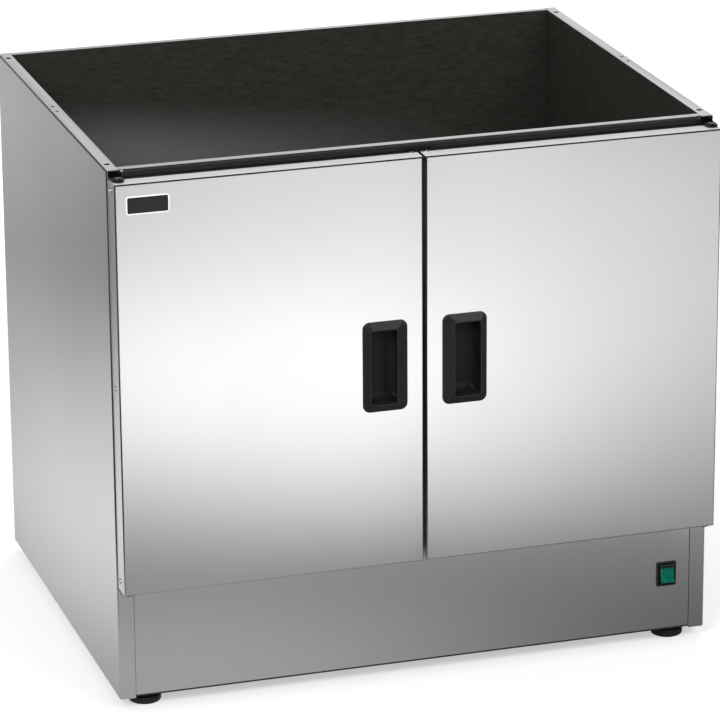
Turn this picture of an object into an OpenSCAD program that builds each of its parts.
// Open-top hot cupboard: folded steel cabinet, two pivot-hung doors, heated base and levelling feet.
// Millimetres. X is the width, Y runs from the doors to the back, Z is up.
// The origin is on the floor, under the middle of the bounding box.

/* [Cabinet] */
// Width over the two side panels
body_w = 750; // [600:5:1000]
// Depth from the front face of the cabinet to its back
body_d = 560; // [460:5:700]
// Height of the side panels
panel_h = 660; // [520:1:760]
// Thickness of the outer steel sheet
sheet = 1.2; // [0.9:0.1:1.5]
// Outside radius of the folds in the side panels, rail and plinth
fold_r = 2.4; // [2:0.1:3.2]
// Width of the top, bottom and rear flanges of a side panel
rim_w = 15; // [14:0.5:20]
// Width of the front flange of a side panel
front_return = 20; // [20:0.5:26]
// Depth of the rear rim
back_rim = 11; // [10:0.5:18]
// Depth of the front rim
front_rim = 12; // [11:0.5:18]
// Height of the front rail under the front rim
rail_h = 24; // [22:0.5:34]
// Distance of the top of the recessed lower back below the heat tray
low_back_drop = 14.5; // [10.5:0.5:24.5]
// How far the lower back is set in, so that the cable entry stays inside the cabinet's depth
low_back_in = 24; // [20:0.5:40]
// Height of the upturned edges of the base tray
base_lip = 25; // [15:0.5:40]
// Clearance between folded sheets that nest or butt
fit = 0.2; // [0.1:0.05:0.4]

/* [Rim holes] */
// Diameter of the four corner fixing holes
corner_hole_d = 7; // [5:0.1:8]
// Distance of the corner holes from the side of the cabinet
corner_hole_in = 8; // [7:0.1:9]
// Distance of the corner holes from the front and the back of the cabinet
corner_hole_end = 26.5; // [20:0.5:60]
// Diameter of the small fixing holes at mid-depth
pair_hole_d = 4.5; // [3:0.1:6]
// Distance of the small holes from the side of the cabinet
pair_hole_in = 7.2; // [6.5:0.1:9]
// Distance between the two small holes of a side
pair_spacing = 23; // [15:0.5:60]
// Free height under the rim for nuts and bolt ends
bolt_room = 26; // [20:0.5:50]

/* [Lining] */
// Thickness of the dark lining sheet
liner_t = 0.8; // [0.6:0.1:1]
// Width of the ledges at the foot of the side linings
ledge_w = 12; // [8:0.5:20]
// Clearance of the insulation slabs from the sheets around them
pack_gap = 0.3; // [0.2:0.05:0.6]

/* [Plinth and floor] */
// Height of the plinth under the doors
plinth_h = 145; // [118:0.5:200]
// Height of the plinth panel's lower edge above the bottom of the side panels
plinth_lift = 3.2; // [1.5:0.1:6]
// Depth of the fold-backs at the sides of the plinth panel
plinth_return = 14; // [8:0.5:18]
// How far the sill stands above the lower edge of the doors
sill_lap = 10; // [6:0.5:16]
// Depth of the sill
sill_d = 24; // [19:0.5:40]
// Depth of the heat tray under the floor
tray_h = 36; // [30:0.5:44]
// Thickness of the heat tray
tray_t = 0.8; // [0.6:0.1:1.2]
// Thickness of the cupboard floor
floor_t = 1; // [0.8:0.1:1.5]
// Depth of the lips under the floor's edges
floor_lip = 10; // [6:0.5:12]
// Length of a floor slot
slot_l = 46; // [30:1:60]
// Width of a floor slot
slot_w = 7; // [5:0.5:10]
// Number of floor slots across the width
slot_columns = 6; // [3:1:7]
// Number of floor slots across the depth
slot_rows = 5; // [3:1:7]
// Distance of the outer slots from the edge of the floor
slot_margin = 70; // [50:1:100]

/* [Doors] */
// Thickness of a door
door_t = 29; // [27:0.5:36]
// Distance of the door tops below the rim
door_drop = 8.8; // [6.6:0.1:10]
// Gap between the doors and the front of the cabinet
door_gap = 3; // [2.8:0.1:5]
// Distance of the doors' outer edges from the sides of the cabinet
door_inset = 1.4; // [1.3:0.1:3]
// Gap between the two doors
centre_gap = 3.6; // [2.5:0.1:6]
// Thickness of the door skin
skin_t = 1; // [0.8:0.1:1.4]
// Outside radius of the folds of the door skin
skin_r = 2; // [1.6:0.1:3]
// Thickness of the inner door panel
inner_t = 0.8; // [0.6:0.1:1]
// Depth of the inner door panel's edges
inner_lip = 12; // [12:0.5:16]
// Distance of the insulation from the inner panel's top and bottom edges
slab_end = 14; // [14:0.5:24]

/* [Hinges] */
// Distance of the pivot from the door's outer edge
pivot_in = 8.1; // [7.6:0.1:9]
// Diameter of the hinge pins
pin_d = 6; // [5:0.1:6.5]
// Diameter of a hinge pin's head
pin_head_d = 9.5; // [8:0.1:12]
// Height of a hinge pin's head
pin_head_h = 1.6; // [1.2:0.1:2]
// Reach of a hinge pin into the door
pin_reach = 7; // [5:0.5:7]
// Radial running clearance of a pin in its bush and its plate
run_fit = 0.05; // [0.03:0.01:0.08]
// Thickness of the hinge plates
plate_t = 2; // [1.6:0.1:2.4]
// Radius of the round end of a hinge plate
plate_r = 7.6; // [7:0.1:8]
// Gap between a door and its hinge plates
hinge_gap = 1; // [0.8:0.1:1.3]
// Distance of the top hinge's upright leg below the rim
leg_drop = 0.6; // [0.4:0.1:0.9]
// Outside diameter of a hinge bush
bush_d = 9.6; // [9:0.1:10.5]
// Length of a hinge bush inside the door
bush_l = 8.5; // [7.5:0.5:9]
// Diameter of a hinge bush's collar
bush_collar_d = 13; // [12:0.1:14]
// Thickness of a hinge bush's collar
bush_collar_t = 0.6; // [0.4:0.1:0.7]
// Radial clearance of a bush in the door skin
bush_fit = 0.05; // [0.03:0.01:0.1]

/* [Handles] */
// Width of a handle
handle_w = 55.2; // [50:0.2:62]
// Height of a handle
handle_h = 112; // [90:0.5:140]
// Distance of a handle from the middle of the cabinet
handle_in = 22; // [16:0.5:50]
// How far a handle stands proud of the door
handle_proud = 6; // [5:0.1:8]
// Height of a handle's upright edge on the door
handle_edge = 1.5; // [1.2:0.1:2.5]
// Corner radius of a handle
handle_r = 8.4; // [5:0.2:10]
// Width of the lip on the hinge side
lip_hinge = 9; // [8:0.2:12]
// Width of the lip on the free side
lip_free = 14; // [13:0.2:17]
// Width of the lips above and below the recess
lip_end = 10; // [8.5:0.2:14]
// Width of the flat crest around the recess
crest_w = 1.6; // [1:0.1:2.5]
// Depth of the recess behind the door's face
cup_depth = 19; // [14:0.5:21]
// How far the recess reaches under the free lip
cup_under = 7; // [4:0.2:8]
// Wall of the recess
cup_wall = 1.8; // [1.4:0.1:2.2]
// Underside of the free lip above the door's face
cup_lift = 1; // [0.6:0.1:1.2]
// Clearance of the recess in the door skin
cup_fit = 0.4; // [0.2:0.05:0.7]
// Width of the lugs that hold a handle behind the skin
lug_w = 14; // [8:0.5:24]
// How far the lugs stand out
lug_out = 2; // [1.5:0.1:2.5]
// Depth of the lugs
lug_d = 2.4; // [1.6:0.1:4]

/* [Badge plate] */
// Width of the bare plate on the left door
badge_w = 52; // [30:0.5:90]
// Height of the plate
badge_h = 22.5; // [14:0.5:40]
// Thickness of the plate
badge_t = 1; // [0.6:0.1:2]
// Corner radius of the plate
badge_r = 3; // [1.5:0.1:5]
// Distance of the plate from the door's outer edge
badge_in = 13; // [6:0.5:60]
// Distance of the plate from the top of the door
badge_drop = 14.5; // [6:0.5:60]

/* [Screws] */
// Diameter of a screw head
head_d = 7; // [6:0.1:8]
// Height of a screw head
head_h = 1.2; // [1:0.1:1.3]
// Diameter of a screw's shank
shank_d = 3.9; // [3:0.1:4.5]
// Length of a screw's shank
shank_l = 7; // [5:0.5:9]
// Radial clearance of a shank in its holes
shank_fit = 0.1; // [0.05:0.05:0.2]
// Distance of the door screws from the door's back face
edge_screw_in = 8; // [7.5:0.1:8.4]
// Distance of the upper and lower edge screws from the door's ends
edge_screw_end = 12; // [11.5:0.5:60]
// Distance of the top and bottom screws from the door's free edge
free_screw_in = 7.5; // [6:0.1:20]
// Distance of the upper and lower back screws from the ends of the back panel
back_screw_end = 36; // [30:1:80]
// Number of screws up each side of the back panel
back_screws = 4; // [2:1:6]

/* [Seal and catch] */
// Height of the ribbed seal on the front rail
seal_h = 13; // [9:0.5:16]
// Distance of the seal and the catch below the rim
seal_drop = 3; // [2.6:0.1:4.5]
// Thickness of the seal's web
seal_t = 1; // [0.6:0.1:1.4]
// Radius of the seal's ribs
rib_r = 0.9; // [0.6:0.05:1.1]
// Number of ribs on the seal
ribs = 4; // [2:1:5]
// Width of the magnetic catch
catch_w = 44; // [40:0.5:60]
// Height of the magnetic catch
catch_h = 14; // [12:0.5:17]
// Thickness of the catch's front flange
catch_t = 1.8; // [1.4:0.1:2.2]
// Width of the flange around the catch's body
catch_edge = 3; // [2:0.1:3.4]
// Depth of the catch's body inside the rail
catch_d = 10; // [7:0.5:10.5]
// Width of a magnet
magnet_w = 14; // [8:0.5:15]
// Height of a magnet
magnet_h = 5; // [3:0.2:5.6]
// Depth of a magnet
magnet_d = 4; // [3:0.2:6]
// Distance between the two magnets' centres
magnet_pitch = 19; // [16.5:0.5:20]

/* [Switch] */
// Distance of the switch's centre from the right side of the cabinet
switch_in = 51; // [48:0.5:120]
// Height of the switch's centre above the bottom of the side panels
switch_up = 76; // [60:0.5:86]
// Width of the switch's bezel
bezel_w = 25.6; // [25:0.1:28]
// Height of the switch's bezel
bezel_h = 31.6; // [31:0.1:34]
// Thickness of the switch's bezel
bezel_t = 2.2; // [2:0.1:3]
// Corner radius of the switch's bezel
bezel_r = 1.6; // [1:0.1:2.5]
// Width of the switch's body behind the panel
switch_w = 22; // [21.8:0.1:23]
// Height of the switch's body behind the panel
switch_h = 28; // [27.8:0.1:29]
// Depth of the switch's body behind the panel
switch_d = 22; // [16:0.5:30]
// Clearance of the switch in its cut-out
switch_fit = 0.2; // [0.1:0.05:0.4]
// Width of the rocker
rocker_w = 17.6; // [15:0.1:18]
// Height of the rocker
rocker_h = 22.4; // [20:0.1:23]
// Depth of the rocker's pivot behind the bezel's front
rocker_pivot = 5.4; // [5:0.1:6.5]
// Height of the rocker's middle above its pivot
rocker_rise = 8; // [6:0.1:9]
// Tilt of the rocker to each side
rocker_tilt = 8; // [5:0.5:9]
// Diameter of the rocker's pivot stubs
stub_d = 3; // [2.4:0.1:3.4]
// Clearance of the rocker in the switch's well
rocker_gap = 0.6; // [0.5:0.05:0.8]
// Clearance beyond the rocker's upper and lower edges
rocker_end_gap = 1.3; // [1.2:0.05:1.6]
// Height of the switch's blade terminals
blade_h = 6.3; // [4:0.1:7]
// Length of a blade terminal
blade_l = 9; // [6:0.5:14]
// Thickness of a blade terminal
blade_t = 0.8; // [0.6:0.1:1.2]

/* [Heating] */
// Diameter of the element's tube
tube_d = 8; // [6:0.1:9]
// Number of straight runs of the element
runs = 4; // [2:2:6]
// Distance between the runs
run_pitch = 84; // [40:1:90]
// Distance of the bends' centres from the side linings
run_margin = 100; // [96:1:140]
// Height of the element above the tray's bottom
run_up = 15; // [10:0.5:18]
// Radius of the bends down to the element's ends
end_r = 9; // [7:0.5:10]
// Length of the element's ends below the tray
end_l = 16; // [12:0.5:24]
// Radial clearance of the tube in its carriers and the tray
tube_fit = 0.3; // [0.15:0.05:0.6]
// Thickness of the element's carriers
carrier_t = 1.2; // [0.8:0.1:2]
// Distance of the carriers from the bends' centres
carrier_in = 60; // [30:1:120]
// Margin of a carrier around the tubes
carrier_edge = 5; // [3:0.2:7]
// Width of a carrier's foot
carrier_foot = 12; // [8:0.5:20]
// Size of the element's nuts across the corners
tube_nut_d = 16; // [13:0.2:20]
// Height of the element's nuts
tube_nut_h = 5; // [3:0.5:8]
// Diameter of the thermostats' cans
stat_d = 18; // [14:0.5:24]
// Height of the thermostats' cans
stat_h = 10; // [7:0.5:14]
// Width of the thermostats' mounting ears
stat_ear = 32; // [26:0.5:40]
// Distance of the thermostat and the cut-out from the middle
stat_x = 70; // [40:1:110]

/* [Supply] */
// Length of the terminal block
block_l = 44; // [34:0.5:60]
// Depth of the terminal block
block_d = 22; // [16:0.5:30]
// Height of the terminal block
block_h = 18; // [14:0.5:26]
// Distance of the terminal block from the lower back
block_in = 60; // [45:1:140]
// Distance of the cable entry from the right side of the cabinet
gland_in = 110; // [90:1:200]
// Height of the cable entry above the bottom of the side panels
gland_up = 52; // [40:0.5:60]
// Diameter of the cable entry's threaded body
gland_d = 20; // [18:0.5:22]
// Bore of the cable entry
gland_bore = 10; // [7:0.5:12]
// Size of the cable entry's hexagons across the corners
gland_hex = 28; // [25:0.5:32]
// Length of the outer hexagon
gland_out = 14; // [8:0.5:18]
// Thickness of the cable entry's inner nut
gland_nut_t = 5; // [4:0.5:8]
// Radial clearance of the cable entry in the base tray
gland_fit = 0.25; // [0.1:0.05:0.5]
// Diameter of the wires
wire_d = 3; // [2:0.1:4]

/* [Feet] */
// Height of the feet under the side panels
foot_h = 15; // [13:0.5:20]
// Diameter of a foot
foot_d = 40; // [30:0.5:46]
// Distance of the feet from the sides of the cabinet
foot_in_x = 38; // [36:0.5:80]
// Distance of the feet from the front and the back of the cabinet
foot_in_y = 60; // [52:0.5:90]
// Distance of the front feet from the front of the cabinet
foot_in_front = 29; // [27:0.5:60]
// Height of a foot's straight wall
foot_wall = 7; // [4:0.5:8]
// Chamfer under a foot
foot_chamfer = 1.5; // [0.5:0.1:2.5]
// Diameter of a foot's neck
foot_neck = 24; // [18:0.5:28]
// Height of a foot's cone under the neck
foot_cone = 4; // [2:0.5:5]
// Diameter of a foot's threaded stud
stud_d = 10; // [8:0.1:12]
// Length of the stud above the base tray
stud_l = 32; // [30:0.5:40]
// Depth of the stud in its foot
stud_in = 9; // [6:0.5:10]
// Size of the welded foot nuts across the corners
foot_nut_d = 20; // [18:0.5:24]
// Height of the welded foot nuts
foot_nut_h = 12; // [8:0.5:14]
// Clearance of a stud in the base tray's hole
stud_gap = 0.5; // [0.3:0.1:1]

/* [Hidden] */
$fn = 48;

// How far cutting shapes run past what they cut
cut = 1;

// Colours
steel = [0.74, 0.74, 0.75];
bright = [0.82, 0.82, 0.83];
charcoal = [0.16, 0.16, 0.16];
black = [0.05, 0.05, 0.05];
wool = [0.78, 0.72, 0.52];
plated = [0.25, 0.25, 0.26];
brass = [0.72, 0.58, 0.32];
nylon = [0.88, 0.87, 0.82];
green = [0.02, 0.42, 0.28];

// Cross recess and crown of a screw head, as shares of the head's diameter
recess_long = 0.56;
recess_wide = 0.13;
head_crown = 0.8;

// Main planes
half_w = body_w / 2;
total_d = handle_proud + door_t + door_gap + body_d + head_h;
front_y = handle_proud + door_t + door_gap - total_d / 2;
back_y = front_y + body_d;
rim_z = foot_h + panel_h;
base_z = foot_h + sheet;
door_back_y = front_y - door_gap;
door_front_y = door_back_y - door_t;
door_top_z = rim_z - door_drop;
door_bottom_z = foot_h + plinth_h;
door_h = door_top_z - door_bottom_z;
floor_z = door_bottom_z + sill_lap;
tray_z = floor_z - floor_t - tray_h;
liner_x = half_w - rim_w;
liner_y = back_y - back_rim;
low_back_z = tray_z - low_back_drop;
low_back_y = back_y - low_back_in;
frame_x = half_w - front_return - fit;

// Doors and hinges, as on the left door
door_w = half_w - door_inset - centre_gap / 2;
door_x = door_inset - half_w;
free_x = door_x + door_w;
pivot_x = door_x + pivot_in;
pivot_y = door_back_y - door_t / 2;
inner_w = door_w - 2 * (skin_t + fit);
inner_h = door_h - 2 * (skin_t + fit);
edge_screw_y = door_back_y - edge_screw_in;
edge_screw_zs = [
    door_bottom_z + edge_screw_end,
    door_bottom_z + door_h / 2,
    door_top_z - edge_screw_end
];
top_plate_z = door_top_z + hinge_gap;
bottom_plate_z = door_bottom_z - hinge_gap - plate_t;

// Handle on the left door
handle_x = -handle_in - handle_w;
handle_z = door_bottom_z + (door_h - handle_h) / 2;
mouth_x = handle_x + lip_hinge;
mouth_w = handle_w - lip_hinge - lip_free;
mouth_z = handle_z + lip_end;
mouth_h = handle_h - 2 * lip_end;
cup_x = mouth_x - cup_wall;
cup_w = mouth_w + cup_under + 2 * cup_wall;
cup_z = mouth_z - cup_wall;
cup_h = mouth_h + 2 * cup_wall;

// Catch in the middle of the front rail
catch_z = rim_z - seal_drop - catch_h;

// Switch
switch_x = half_w - switch_in;
switch_z = foot_h + switch_up;
well_w = rocker_w + 2 * rocker_gap;
well_h = rocker_h + 2 * rocker_end_gap;
rocker_y = front_y - bezel_t + rocker_pivot;
switch_back_y = front_y + switch_d;
blade_zs = [switch_z - switch_h / 4, switch_z + switch_h / 4];

// Heat tray and element
tray_front_y = front_y + sill_d + fit;
tray_back_y = liner_y - fit;
tray_x = liner_x - fit;
run_x = liner_x - run_margin;
run_z = tray_z + tray_t + run_up;
run_ys = [for (i = [0:runs - 1]) (tray_front_y + tray_back_y - (runs - 1) * run_pitch) / 2 + i * run_pitch];
end_x = run_x + end_r;
end_ys = [run_ys[0], run_ys[runs - 1]];
tube_hole_d = tube_d + 2 * tube_fit;
mid_tray_y = (tray_front_y + tray_back_y) / 2;
stat_blade_gap = stat_d / 4;

// Supply
gland_x = half_w - gland_in;
gland_z = foot_h + gland_up;
block_y = low_back_y - block_in;
block_z = base_z + sheet;
pole_pitch = block_l / 3;

// Feet
foot_x = half_w - foot_in_x;
foot_front_y = front_y + foot_in_front;
foot_rear_y = back_y - foot_in_y;
foot_spots = [
    [-foot_x, foot_front_y], [foot_x, foot_front_y],
    [-foot_x, foot_rear_y], [foot_x, foot_rear_y]
];

// Rectangle from the origin with round corners
module soft_rect(w, h, r) {
    translate([r, 0]) square([w - 2 * r, h]);
    translate([0, r]) square([w, h - 2 * r]);
    for (x = [r, w - r], y = [r, h - r])
        translate([x, y]) circle(r);
}

// An outline in X and Z, drawn out along Y
module along_y(d) {
    translate([0, d, 0]) rotate([90, 0, 0]) linear_extrude(d) children();
}

// An outline in Y and Z, drawn out along X
module along_x(w) {
    rotate([90, 0, 90]) linear_extrude(w) children();
}

// Block whose edges along Z and along Y are folded round
module side_block(w, d, h, r) {
    intersection() {
        linear_extrude(h) soft_rect(w, d, r);
        along_y(d) soft_rect(w, h, r);
    }
}

// Block whose four front edges are folded round
module door_block(w, d, h, r) {
    intersection() {
        linear_extrude(h) soft_rect(w, 2 * d, r);
        along_x(w) soft_rect(2 * d, h, r);
        cube([w, d, h]);
    }
}

// Left or right copy of a piece drawn on the left
module handed(right) {
    mirror([right ? 1 : 0, 0, 0]) children();
}

// Pan head on a plain shank that points down, with the head's underside at the origin and a cross recess
module cross_head(d, h, shank, l) {
    recess = [d * recess_long, d * recess_wide, h];
    difference() {
        union() {
            translate([0, 0, -l]) cylinder(h = l, d = shank);
            cylinder(h = h / 2, d = d);
            translate([0, 0, h / 2]) cylinder(h = h / 2, d1 = d, d2 = d * head_crown);
        }
        for (turn = [0, 90])
            rotate([0, 0, turn]) translate([-recess.x / 2, -recess.y / 2, h / 3]) cube(recess);
    }
}

module screw() {
    cross_head(head_d, head_h, shank_d, shank_l);
}

// Hole for a screw's shank, both ways from the origin along Z
module screw_hole(l) {
    translate([0, 0, -l]) cylinder(h = 2 * l, d = shank_d + 2 * shank_fit);
}

// Cabinet shell

module rim_holes() {
    for (y = [front_y + corner_hole_end, back_y - corner_hole_end])
        translate([corner_hole_in - half_w, y, rim_z - sheet - cut])
            cylinder(h = sheet + 2 * cut, d = corner_hole_d);
    for (y = [back_y + front_y - pair_spacing, back_y + front_y + pair_spacing])
        translate([pair_hole_in - half_w, y / 2, rim_z - sheet - cut])
            cylinder(h = sheet + 2 * cut, d = pair_hole_d);
}

module back_screw_spots() {
    low = low_back_z + back_screw_end;
    high = rim_z - back_screw_end;
    for (i = [0:back_screws - 1])
        translate([rim_w / 2 - half_w, back_y, low + i * (high - low) / (back_screws - 1)])
            rotate([-90, 0, 0]) children();
}

module side_panel() {
    color(steel) difference() {
        translate([-half_w, front_y, foot_h])
            side_block(2 * front_return, body_d, panel_h, fold_r);
        translate([sheet - half_w, front_y + sheet, foot_h + sheet])
            side_block(2 * front_return, body_d - 2 * sheet, panel_h - 2 * sheet, fold_r - sheet);
        translate([front_return - half_w, front_y - cut, foot_h - cut])
            cube([2 * front_return, body_d + 2 * cut, panel_h + 2 * cut]);
        translate([rim_w - half_w, front_y + sheet, foot_h - cut])
            cube([2 * front_return, body_d + cut, panel_h + 2 * cut]);
        rim_holes();
        back_screw_spots() screw_hole(sheet + cut);
    }
}

module back_panel() {
    panel_x = half_w - fold_r - fit;
    color(steel) difference() {
        union() {
            translate([-panel_x, back_y - 2 * sheet, low_back_z])
                cube([2 * panel_x, sheet, rim_z - low_back_z - sheet]);
            translate([fit - liner_x, back_y - 2 * sheet, low_back_z])
                cube([2 * (liner_x - fit), sheet, rim_z - low_back_z]);
            translate([fit - liner_x, liner_y, rim_z - sheet])
                cube([2 * (liner_x - fit), back_rim - sheet, sheet]);
            translate([-panel_x, low_back_y, low_back_z])
                cube([2 * panel_x, low_back_in - sheet, sheet]);
        }
        for (right = [false, true])
            handed(right) back_screw_spots() screw_hole(2 * sheet + cut);
    }
}

module front_rail() {
    color(steel) difference() {
        union() {
            translate([-frame_x, front_y, rim_z - rail_h]) along_x(2 * frame_x) difference() {
                intersection() {
                    soft_rect(2 * front_rim, rail_h, fold_r);
                    square([front_rim, rail_h]);
                }
                translate([sheet, sheet])
                    soft_rect(2 * front_rim, rail_h - 2 * sheet, fold_r - sheet);
            }
            translate([fit - liner_x, front_y + sheet + fit, rim_z - sheet])
                cube([2 * (liner_x - fit), front_rim - sheet - fit, sheet]);
        }
        translate([catch_edge - catch_w / 2 - fit, front_y - cut, catch_z + catch_edge - fit])
            cube([catch_w - 2 * catch_edge + 2 * fit, sheet + 2 * cut, catch_h - 2 * catch_edge + 2 * fit]);
    }
}

module plinth_panel() {
    low_z = foot_h + plinth_lift;
    high = floor_z - low_z;
    color(steel) difference() {
        union() {
            translate([-frame_x, front_y, low_z]) along_x(2 * frame_x) difference() {
                intersection() {
                    soft_rect(2 * sill_d, high, fold_r);
                    square([sill_d, high]);
                }
                translate([sheet, -fold_r])
                    soft_rect(2 * sill_d, high + fold_r - sheet, fold_r - sheet);
            }
            for (side = [0, 1])
                mirror([side, 0, 0]) translate([-frame_x, front_y + sheet / 2, base_z + base_lip + sheet])
                    cube([sheet, plinth_return - sheet / 2, floor_z - base_z - base_lip - 1.5 * sheet]);
        }
        translate([switch_x - switch_w / 2 - switch_fit, front_y - cut, switch_z - switch_h / 2 - switch_fit])
            cube([switch_w + 2 * switch_fit, sheet + 2 * cut, switch_h + 2 * switch_fit]);
    }
}

module base_tray() {
    tray_half = half_w - fold_r - fit;
    y0 = front_y + sheet + fit;
    depth = low_back_y - y0;
    color(charcoal) difference() {
        union() {
            translate([-tray_half, y0, base_z]) cube([2 * tray_half, depth, base_lip]);
            translate([-tray_half, low_back_y - sheet, base_z])
                cube([2 * tray_half, sheet, low_back_z - base_z]);
        }
        translate([sheet - tray_half, y0 + sheet, base_z + sheet])
            cube([2 * (tray_half - sheet), depth - 2 * sheet, low_back_z]);
        for (spot = foot_spots)
            translate([spot.x, spot.y, base_z - cut])
                cylinder(h = sheet + 2 * cut, d = stud_d + 2 * stud_gap);
        translate([gland_x, low_back_y - sheet - cut, gland_z])
            rotate([-90, 0, 0]) cylinder(h = sheet + 2 * cut, d = gland_d + 2 * gland_fit);
    }
}

// Lining and insulation

module side_liner() {
    front = front_y + sheet;
    color(charcoal) translate([-liner_x - liner_t, 0, tray_z - liner_t]) {
        translate([0, front, 0]) cube([liner_t, liner_y - front, rim_z - sheet - tray_z + liner_t]);
        translate([0, tray_front_y, 0]) cube([liner_t + ledge_w, liner_y - tray_front_y, liner_t]);
    }
}

module rear_liner() {
    color(charcoal) translate([-liner_x, liner_y, tray_z])
        cube([2 * liner_x, liner_t, rim_z - sheet - tray_z]);
}

module side_insulation() {
    x0 = sheet + pack_gap - half_w;
    y0 = front_y + fold_r + pack_gap;
    color(wool) translate([x0, y0, tray_z])
        cube([-liner_x - liner_t - pack_gap - x0, liner_y - y0, rim_z - sheet - bolt_room - tray_z]);
}

module rear_insulation() {
    y0 = liner_y + liner_t + pack_gap;
    color(wool) translate([-liner_x, y0, tray_z])
        cube([2 * liner_x, back_y - 2 * sheet - pack_gap - y0, rim_z - sheet - bolt_room - tray_z]);
}

// Floor, heat tray and element

module floor_plate() {
    depth = tray_back_y - tray_front_y;
    lip_in = tray_t + fit;
    column_pitch = (2 * (tray_x - slot_margin) - slot_l) / (slot_columns - 1);
    row_pitch = (depth - 2 * slot_margin - slot_w) / (slot_rows - 1);
    color(steel) difference() {
        union() {
            translate([-tray_x, tray_front_y, floor_z - floor_t]) cube([2 * tray_x, depth, floor_t]);
            translate([lip_in - tray_x, tray_front_y + lip_in, floor_z - floor_lip])
                cube([2 * (tray_x - lip_in), depth - 2 * lip_in, floor_lip]);
        }
        translate([lip_in + floor_t - tray_x, tray_front_y + lip_in + floor_t, floor_z - floor_lip - cut])
            cube([
                2 * (tray_x - lip_in - floor_t), depth - 2 * (lip_in + floor_t), floor_lip - floor_t + cut
            ]);
        for (i = [0:slot_columns - 1], j = [0:slot_rows - 1])
            translate([
                slot_margin - tray_x + i * column_pitch,
                tray_front_y + slot_margin + j * row_pitch,
                floor_z - floor_t - cut
            ])
                linear_extrude(floor_t + 2 * cut) slot_outline();
    }
}

module slot_outline() {
    translate([slot_w / 2, 0]) square([slot_l - slot_w, slot_w]);
    for (x = [slot_w / 2, slot_l - slot_w / 2])
        translate([x, slot_w / 2]) circle(d = slot_w);
}

module heat_tray() {
    depth = tray_back_y - tray_front_y;
    color(bright) difference() {
        translate([-tray_x, tray_front_y, tray_z]) cube([2 * tray_x, depth, tray_h]);
        translate([tray_t - tray_x, tray_front_y + tray_t, tray_z + tray_t])
            cube([2 * (tray_x - tray_t), depth - 2 * tray_t, tray_h]);
        for (y = end_ys)
            translate([end_x, y, tray_z - cut]) cylinder(h = tray_t + 2 * cut, d = tube_hole_d);
    }
}

module heating_element() {
    bend_r = run_pitch / 2;
    color(plated) {
        for (y = run_ys)
            translate([-run_x, y, run_z]) rotate([0, 90, 0]) cylinder(h = 2 * run_x, d = tube_d);
        for (i = [0:runs - 2])
            translate([(i % 2 == 0 ? -1 : 1) * run_x, run_ys[i] + bend_r, run_z])
                rotate([0, 0, i % 2 == 0 ? 90 : -90])
                    rotate_extrude(angle = 180) translate([bend_r, 0]) circle(d = tube_d);
        for (y = end_ys) {
            translate([run_x, y, run_z - end_r]) rotate([90, 0, 0])
                rotate_extrude(angle = 90) translate([end_r, 0]) circle(d = tube_d);
            translate([end_x, y, tray_z - end_l])
                cylinder(h = run_z - end_r - tray_z + end_l, d = tube_d);
        }
    }
}

module element_carriers() {
    floor_of_tray = tray_z + tray_t;
    y0 = run_ys[0] - tube_d / 2 - carrier_edge;
    depth = run_ys[runs - 1] - run_ys[0] + tube_d + 2 * carrier_edge;
    color(bright) for (side = [-1, 1])
        translate([side * (run_x - carrier_in), 0, 0]) difference() {
            union() {
                translate([-carrier_t / 2, y0, floor_of_tray])
                    cube([carrier_t, depth, run_up + tube_d / 2 + carrier_edge]);
                translate([-carrier_foot / 2, y0, floor_of_tray])
                    cube([carrier_foot, depth, carrier_t]);
            }
            for (y = run_ys)
                translate([-carrier_t / 2 - cut, y, run_z])
                    rotate([0, 90, 0]) cylinder(h = carrier_t + 2 * cut, d = tube_hole_d);
        }
}

module element_nuts() {
    color(brass) for (y = end_ys)
        translate([end_x, y, tray_z - tube_nut_h]) difference() {
            cylinder(h = tube_nut_h, d = tube_nut_d, $fn = 6);
            translate([0, 0, -cut]) cylinder(h = tube_nut_h + 2 * cut, d = tube_hole_d);
        }
}

// Disc thermostat under the heat tray, with two blades pointing down
module disc_stat(x) {
    ear_t = carrier_t;
    translate([x, mid_tray_y, tray_z]) {
        translate([0, 0, -stat_h]) cylinder(h = stat_h, d = stat_d);
        translate([-stat_ear / 2, -stat_d / 4, -ear_t]) cube([stat_ear, stat_d / 2, ear_t]);
        for (side = [-1, 1])
            translate([side * stat_blade_gap - blade_t / 2, -blade_h / 2, -stat_h - blade_l])
                cube([blade_t, blade_h, blade_l]);
    }
}

module thermostat() {
    color(bright) disc_stat(-stat_x);
}

module thermal_cutout() {
    color(bright) disc_stat(stat_x);
}

// Supply

module terminal_block() {
    screw_well_d = pole_pitch / 2;
    color(nylon) translate([gland_x - block_l / 2, block_y - block_d / 2, block_z]) difference() {
        cube([block_l, block_d, block_h]);
        for (i = [0:2], y = [block_d / 4, block_d * 3 / 4])
            translate([(i + 0.5) * pole_pitch, y, block_h / 2])
                cylinder(h = block_h, d = screw_well_d);
        for (i = [1, 2])
            translate([i * pole_pitch - blade_t / 2, -cut, block_h - blade_t])
                cube([blade_t, block_d + 2 * cut, blade_t + cut]);
    }
}

module cable_gland() {
    thread_l = sheet + gland_nut_t + gland_nut_t / 2;
    dome_l = gland_out / 3;
    color(black) translate([gland_x, low_back_y, gland_z]) rotate([-90, 0, 0]) difference() {
        union() {
            translate([0, 0, -thread_l]) cylinder(h = thread_l, d = gland_d);
            cylinder(h = gland_out - dome_l, d = gland_hex, $fn = 6);
            translate([0, 0, gland_out - dome_l])
                cylinder(h = dome_l, d1 = gland_d, d2 = (gland_d + gland_bore) / 2);
        }
        translate([0, 0, -thread_l - cut]) cylinder(h = thread_l + gland_out + 2 * cut, d = gland_bore);
    }
}

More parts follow.
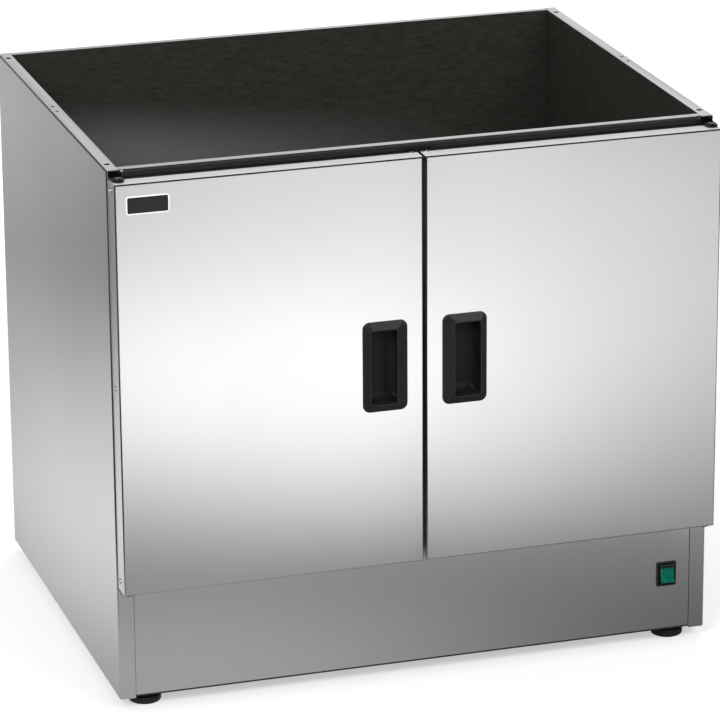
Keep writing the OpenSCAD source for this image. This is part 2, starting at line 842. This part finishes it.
module gland_nut() {
    color(black) translate([gland_x, low_back_y - sheet - gland_nut_t, gland_z])
        rotate([-90, 0, 0]) difference() {
            cylinder(h = gland_nut_t, d = gland_hex, $fn = 6);
            translate([0, 0, -cut]) cylinder(h = gland_nut_t + 2 * cut, d = gland_d + 2 * gland_fit);
        }
}

// A point of a wire that leaves its two ends squarely, as a cubic curve
function wire_point(w, t) =
    w[0] * pow(1 - t, 3) + 3 * w[1] * t * pow(1 - t, 2) + 3 * w[2] * t * t * (1 - t) + w[3] * pow(t, 3);
function wire_along(w, t) =
    let (d = (w[1] - w[0]) * pow(1 - t, 2) + 2 * (w[2] - w[1]) * t * (1 - t) + (w[3] - w[2]) * t * t)
    d / norm(d);

// Wires as four points each: an end, a lead out of it, a lead into the other end, and that end
pole_y = block_y - block_d / 2;
pole_z = block_z + block_h / 3;
lead = 70;
stat_end_z = tray_z - stat_h - blade_l;
switch_end_y = switch_back_y + blade_l;
element_end_z = tray_z - end_l;
wire_routes = [
    [
        [gland_x, pole_y, pole_z], [gland_x, pole_y - lead, pole_z],
        [switch_x, switch_end_y + lead, blade_zs[0]], [switch_x, switch_end_y, blade_zs[0]]
    ],
    [
        [switch_x, switch_end_y, blade_zs[1]], [switch_x, switch_end_y + lead, blade_zs[1]],
        [stat_x + stat_blade_gap, mid_tray_y, stat_end_z - lead],
        [stat_x + stat_blade_gap, mid_tray_y, stat_end_z]
    ],
    [
        [stat_x - stat_blade_gap, mid_tray_y, stat_end_z],
        [stat_x - stat_blade_gap, mid_tray_y, stat_end_z - lead / 2],
        [stat_blade_gap - stat_x, mid_tray_y, stat_end_z - lead / 2],
        [stat_blade_gap - stat_x, mid_tray_y, stat_end_z]
    ],
    [
        [-stat_x - stat_blade_gap, mid_tray_y, stat_end_z],
        [-stat_x - stat_blade_gap, mid_tray_y, stat_end_z - lead],
        [end_x, end_ys[1], element_end_z - lead],
        [end_x, end_ys[1], element_end_z]
    ],
    [
        [end_x, end_ys[0], element_end_z], [end_x, end_ys[0], element_end_z - lead],
        [gland_x - pole_pitch, pole_y - lead, pole_z], [gland_x - pole_pitch, pole_y, pole_z]
    ]
];
wire_steps = 20;
wire_sides = 8;
// A direction that no wire runs along, which the rings of a wire are turned by
wire_side = [0.5, 0.62, 0.6];

module wire(w) {
    rings = [for (i = [0:wire_steps])
        let (
            t = i / wire_steps,
            a = cross(wire_along(w, t), wire_side),
            u = a / norm(a),
            v = cross(wire_along(w, t), u)
        )
        for (k = [0:wire_sides - 1])
            wire_point(w, t) + wire_d / 2 * (cos(k * 360 / wire_sides) * u + sin(k * 360 / wire_sides) * v)
    ];
    walls = [for (i = [0:wire_steps - 1], k = [0:wire_sides - 1])
        let (a = i * wire_sides + k, b = i * wire_sides + (k + 1) % wire_sides)
        each [[a, a + wire_sides, b + wire_sides], [a, b + wire_sides, b]]
    ];
    caps = [for (k = [1:wire_sides - 2])
        each [[0, k, k + 1], [wire_steps * wire_sides, wire_steps * wire_sides + k + 1,
            wire_steps * wire_sides + k]]
    ];
    polyhedron(rings, concat(walls, caps));
}

module wiring() {
    color([0.55, 0.12, 0.1]) for (route = wire_routes)
        wire(route);
}

// Seal and catch on the front rail

module door_seal() {
    rib_pitch = (seal_h - 2 * rib_r) / (ribs - 1);
    length = frame_x - catch_w / 2 - 2 * fit;
    color(black) for (side = [0, 1])
        mirror([side, 0, 0]) translate([fit - frame_x, front_y, rim_z - seal_drop - seal_h])
            along_x(length) {
                translate([-seal_t, 0]) square([seal_t, seal_h]);
                for (i = [0:ribs - 1])
                    translate([-seal_t, rib_r + i * rib_pitch]) circle(rib_r);
            }
}

module magnet_spots() {
    for (side = [-1, 1])
        translate([side * magnet_pitch / 2, front_y - catch_t, catch_z + catch_h / 2])
            children();
}

module catch_housing() {
    color(black) difference() {
        union() {
            translate([-catch_w / 2, front_y - catch_t, catch_z]) cube([catch_w, catch_t, catch_h]);
            translate([catch_edge - catch_w / 2, front_y - cut, catch_z + catch_edge])
                cube([catch_w - 2 * catch_edge, catch_d + cut, catch_h - 2 * catch_edge]);
        }
        magnet_spots() translate([-magnet_w / 2 - fit, -cut, -magnet_h / 2 - fit])
            cube([magnet_w + 2 * fit, magnet_d + cut, magnet_h + 2 * fit]);
    }
}

module catch_magnets() {
    color(plated) magnet_spots() translate([-magnet_w / 2, 0, -magnet_h / 2])
        cube([magnet_w, magnet_d, magnet_h]);
}

// Hinges

module plate_outline() {
    translate([pivot_x, pivot_y]) circle(plate_r);
    translate([pivot_x - plate_r, pivot_y]) square([2 * plate_r, front_y - pivot_y]);
}

module pin_hole(z) {
    translate([pivot_x, pivot_y, z - cut]) cylinder(h = plate_t + 2 * cut, d = pin_d + 2 * run_fit);
}

module top_hinge() {
    color(plated) difference() {
        union() {
            translate([0, 0, top_plate_z]) linear_extrude(plate_t) plate_outline();
            translate([pivot_x - plate_r, front_y - plate_t, top_plate_z])
                cube([2 * plate_r, plate_t, rim_z - leg_drop - top_plate_z]);
        }
        pin_hole(top_plate_z);
    }
}

module bottom_hinge() {
    color(plated) difference() {
        translate([0, 0, bottom_plate_z]) linear_extrude(plate_t) plate_outline();
        pin_hole(bottom_plate_z);
    }
}

module hinge_pin() {
    cross_head(pin_head_d, pin_head_h, pin_d, plate_t + hinge_gap + pin_reach);
}

module hinge_pins() {
    color(bright) for (right = [false, true])
        handed(right) {
            translate([pivot_x, pivot_y, top_plate_z + plate_t]) hinge_pin();
            translate([pivot_x, pivot_y, bottom_plate_z]) mirror([0, 0, 1]) hinge_pin();
        }
}

// Switch

module switch_housing() {
    well_back_y = rocker_y + rocker_rise;
    color(black) difference() {
        union() {
            translate([switch_x - bezel_w / 2, front_y - bezel_t, switch_z - bezel_h / 2])
                along_y(bezel_t) soft_rect(bezel_w, bezel_h, bezel_r);
            translate([switch_x - switch_w / 2, front_y - bezel_t / 2, switch_z - switch_h / 2])
                cube([switch_w, switch_d + bezel_t / 2, switch_h]);
        }
        translate([switch_x - well_w / 2, front_y - bezel_t - cut, switch_z - well_h / 2])
            cube([well_w, well_back_y - front_y + bezel_t + cut, well_h]);
        translate([switch_x - switch_w / 2 - cut, rocker_y, switch_z]) rotate([0, 90, 0])
            cylinder(h = switch_w + 2 * cut, d = stub_d + 2 * run_fit);
    }
}

module switch_terminals() {
    color(brass) for (z = blade_zs)
        translate([switch_x - blade_t / 2, switch_back_y, z - blade_h / 2])
            cube([blade_t, blade_l, blade_h]);
}

// Rocker with its upper half pressed in: a shallow vee in front of a hub on the pivot
module switch_rocker() {
    half = rocker_h / 2;
    tip = rocker_rise + half * tan(rocker_tilt);
    hub = rocker_rise - stub_d / 4;
    shoulder = half - rocker_end_gap / 2;
    color(green) translate([switch_x, rocker_y, switch_z]) rotate([-rocker_tilt, 0, 0]) {
        translate([-rocker_w / 2, 0, 0]) along_x(rocker_w) polygon([
            [-rocker_rise, 0], [-tip, half], [-stub_d / 2, shoulder], [hub / 2, hub],
            [hub / 2, -hub], [-stub_d / 2, -shoulder], [-tip, -half]
        ]);
        translate([-switch_w / 2, 0, 0]) rotate([0, 90, 0]) cylinder(h = switch_w, d = stub_d);
    }
}

// Doors, drawn as the left one

module edge_screw_spots() {
    for (z = edge_screw_zs)
        translate([door_x, edge_screw_y, z]) rotate([0, -90, 0]) children();
    translate([free_x - free_screw_in, edge_screw_y, door_top_z]) children();
    translate([free_x - free_screw_in, edge_screw_y, door_bottom_z]) mirror([0, 0, 1]) children();
}

module door_skin() {
    color(steel) difference() {
        translate([door_x, door_front_y, door_bottom_z]) door_block(door_w, door_t, door_h, skin_r);
        translate([door_x + skin_t, door_front_y + skin_t, door_bottom_z + skin_t])
            door_block(door_w - 2 * skin_t, door_t, door_h - 2 * skin_t, skin_r - skin_t);
        translate([cup_x - cup_fit, door_front_y - cut, cup_z - cup_fit])
            cube([cup_w + 2 * cup_fit, skin_t + 2 * cut, cup_h + 2 * cup_fit]);
        for (z = [door_bottom_z - cut, door_top_z - skin_t - cut])
            translate([pivot_x, pivot_y, z]) cylinder(h = skin_t + 2 * cut, d = bush_d + 2 * bush_fit);
        edge_screw_spots() screw_hole(skin_t + cut);
    }
}

module door_inner() {
    edge = skin_t + fit;
    notch_d = bush_d + 2 * cut;
    color(steel) difference() {
        translate([door_x + edge, door_back_y - inner_lip, door_bottom_z + edge])
            cube([inner_w, inner_lip, inner_h]);
        translate([door_x + edge + inner_t, door_back_y - inner_lip - cut, door_bottom_z + edge + inner_t])
            cube([inner_w - 2 * inner_t, inner_lip - inner_t + cut, inner_h - 2 * inner_t]);
        for (z = [door_bottom_z, door_top_z - edge - inner_t - cut])
            translate([pivot_x, pivot_y, z]) cylinder(h = edge + inner_t + cut, d = notch_d);
        edge_screw_spots() screw_hole(edge + inner_t + cut);
    }
}

module door_insulation() {
    edge = skin_t + fit + inner_t + pack_gap;
    end = skin_t + fit + inner_t + slab_end;
    bay = lug_out + cut;
    color(wool) difference() {
        translate([door_x + edge + shank_l, door_front_y + skin_t + pack_gap, door_bottom_z + end])
            cube([
                door_w - 2 * edge - shank_l,
                door_t - skin_t - inner_t - 2 * pack_gap,
                door_h - 2 * end
            ]);
        translate([cup_x - bay, door_front_y, cup_z - bay])
            cube([cup_w + 2 * bay, door_t, cup_h + 2 * bay]);
    }
}

module door_handle() {
    color(black) difference() {
        union() {
            hull() {
                translate([handle_x, door_front_y - handle_edge, handle_z])
                    along_y(handle_edge) soft_rect(handle_w, handle_h, handle_r, $fn = 32);
                translate([mouth_x - crest_w, door_front_y - handle_proud, mouth_z - crest_w])
                    along_y(crest_w / 4)
                        soft_rect(mouth_w + 2 * crest_w, mouth_h + 2 * crest_w, handle_r / 2, $fn = 32);
            }
            translate([cup_x, door_front_y - handle_edge / 2, cup_z])
                cube([cup_w, cup_depth + cup_wall + handle_edge / 2, cup_h]);
            for (z = [cup_z - lug_out, cup_z + cup_h - cut])
                translate([cup_x + (cup_w - lug_w) / 2, door_front_y + skin_t + fit, z])
                    cube([lug_w, lug_d, lug_out + cut]);
        }
        translate([mouth_x, door_front_y - handle_proud - cut, mouth_z])
            cube([mouth_w, handle_proud + cup_depth + cut, mouth_h]);
        translate([mouth_x, door_front_y - cup_lift, mouth_z])
            cube([mouth_w + cup_under, cup_depth + cup_lift, mouth_h]);
    }
}

module door_screws() {
    color(bright) edge_screw_spots() screw();
}

module door_bush() {
    difference() {
        union() {
            translate([0, 0, -bush_l]) cylinder(h = bush_l, d = bush_d);
            cylinder(h = bush_collar_t, d = bush_collar_d);
        }
        translate([0, 0, -bush_l - cut])
            cylinder(h = bush_l + bush_collar_t + 2 * cut, d = pin_d + 2 * run_fit);
    }
}

module door_bushes() {
    color(nylon) {
        translate([pivot_x, pivot_y, door_top_z]) door_bush();
        translate([pivot_x, pivot_y, door_bottom_z]) mirror([0, 0, 1]) door_bush();
    }
}

module badge_plate() {
    color(black)
        translate([door_x + badge_in, door_front_y - badge_t, door_top_z - badge_drop - badge_h])
            along_y(badge_t) soft_rect(badge_w, badge_h, badge_r);
}

// Back screws and feet

module back_screws() {
    color(bright) for (right = [false, true])
        handed(right) back_screw_spots() screw();
}

module foot_nuts() {
    color(bright) for (spot = foot_spots)
        translate([spot.x, spot.y, base_z + sheet]) difference() {
            cylinder(h = foot_nut_h, d = foot_nut_d, $fn = 6);
            translate([0, 0, -cut]) cylinder(h = foot_nut_h + 2 * cut, d = stud_d + 2 * run_fit);
        }
}

module foot(spot) {
    cone_z = foot_chamfer + foot_wall;
    color(black) translate([spot.x, spot.y, 0]) difference() {
        union() {
            cylinder(h = foot_chamfer, d1 = foot_d - 2 * foot_chamfer, d2 = foot_d);
            translate([0, 0, foot_chamfer]) cylinder(h = foot_wall, d = foot_d);
            translate([0, 0, cone_z]) cylinder(h = foot_cone, d1 = foot_d, d2 = foot_neck);
            translate([0, 0, cone_z + foot_cone]) cylinder(h = base_z - cone_z - foot_cone, d = foot_neck);
        }
        translate([0, 0, base_z - stud_in]) cylinder(h = stud_in + cut, d = stud_d + 2 * run_fit);
    }
}

module stud(spot) {
    color(bright) translate([spot.x, spot.y, base_z - stud_in])
        cylinder(h = stud_in + sheet + stud_l, d = stud_d);
}

handed(false) side_panel();  // left_side_panel
handed(true) side_panel();  // right_side_panel
back_panel();
front_rail();
plinth_panel();
base_tray();
handed(false) side_liner();  // left_liner
handed(true) side_liner();  // right_liner
rear_liner();
handed(false) side_insulation();  // left_insulation
handed(true) side_insulation();  // right_insulation
rear_insulation();
floor_plate();
heat_tray();
heating_element();
element_carriers();
element_nuts();
thermostat();
thermal_cutout();
terminal_block();
cable_gland();
gland_nut();
wiring();
door_seal();
catch_housing();
catch_magnets();
handed(false) top_hinge();  // left_top_hinge
handed(true) top_hinge();  // right_top_hinge
handed(false) bottom_hinge();  // left_bottom_hinge
handed(true) bottom_hinge();  // right_bottom_hinge
hinge_pins();
switch_housing();
switch_terminals();
switch_rocker();
back_screws();
foot_nuts();
handed(false) door_skin();  // left_door_skin
handed(false) door_inner();  // left_door_inner
handed(false) door_insulation();  // left_door_insulation
handed(false) door_handle();  // left_door_handle
handed(false) door_screws();  // left_door_screws
handed(false) door_bushes();  // left_door_bushes
badge_plate();
handed(true) door_skin();  // right_door_skin
handed(true) door_inner();  // right_door_inner
handed(true) door_insulation();  // right_door_insulation
handed(true) door_handle();  // right_door_handle
handed(true) door_screws();  // right_door_screws
handed(true) door_bushes();  // right_door_bushes
foot(foot_spots[0]);  // front_left_foot
foot(foot_spots[1]);  // front_right_foot
foot(foot_spots[2]);  // rear_left_foot
foot(foot_spots[3]);  // rear_right_foot
stud(foot_spots[0]);  // front_left_stud
stud(foot_spots[1]);  // front_right_stud
stud(foot_spots[2]);  // rear_left_stud
stud(foot_spots[3]);  // rear_right_stud
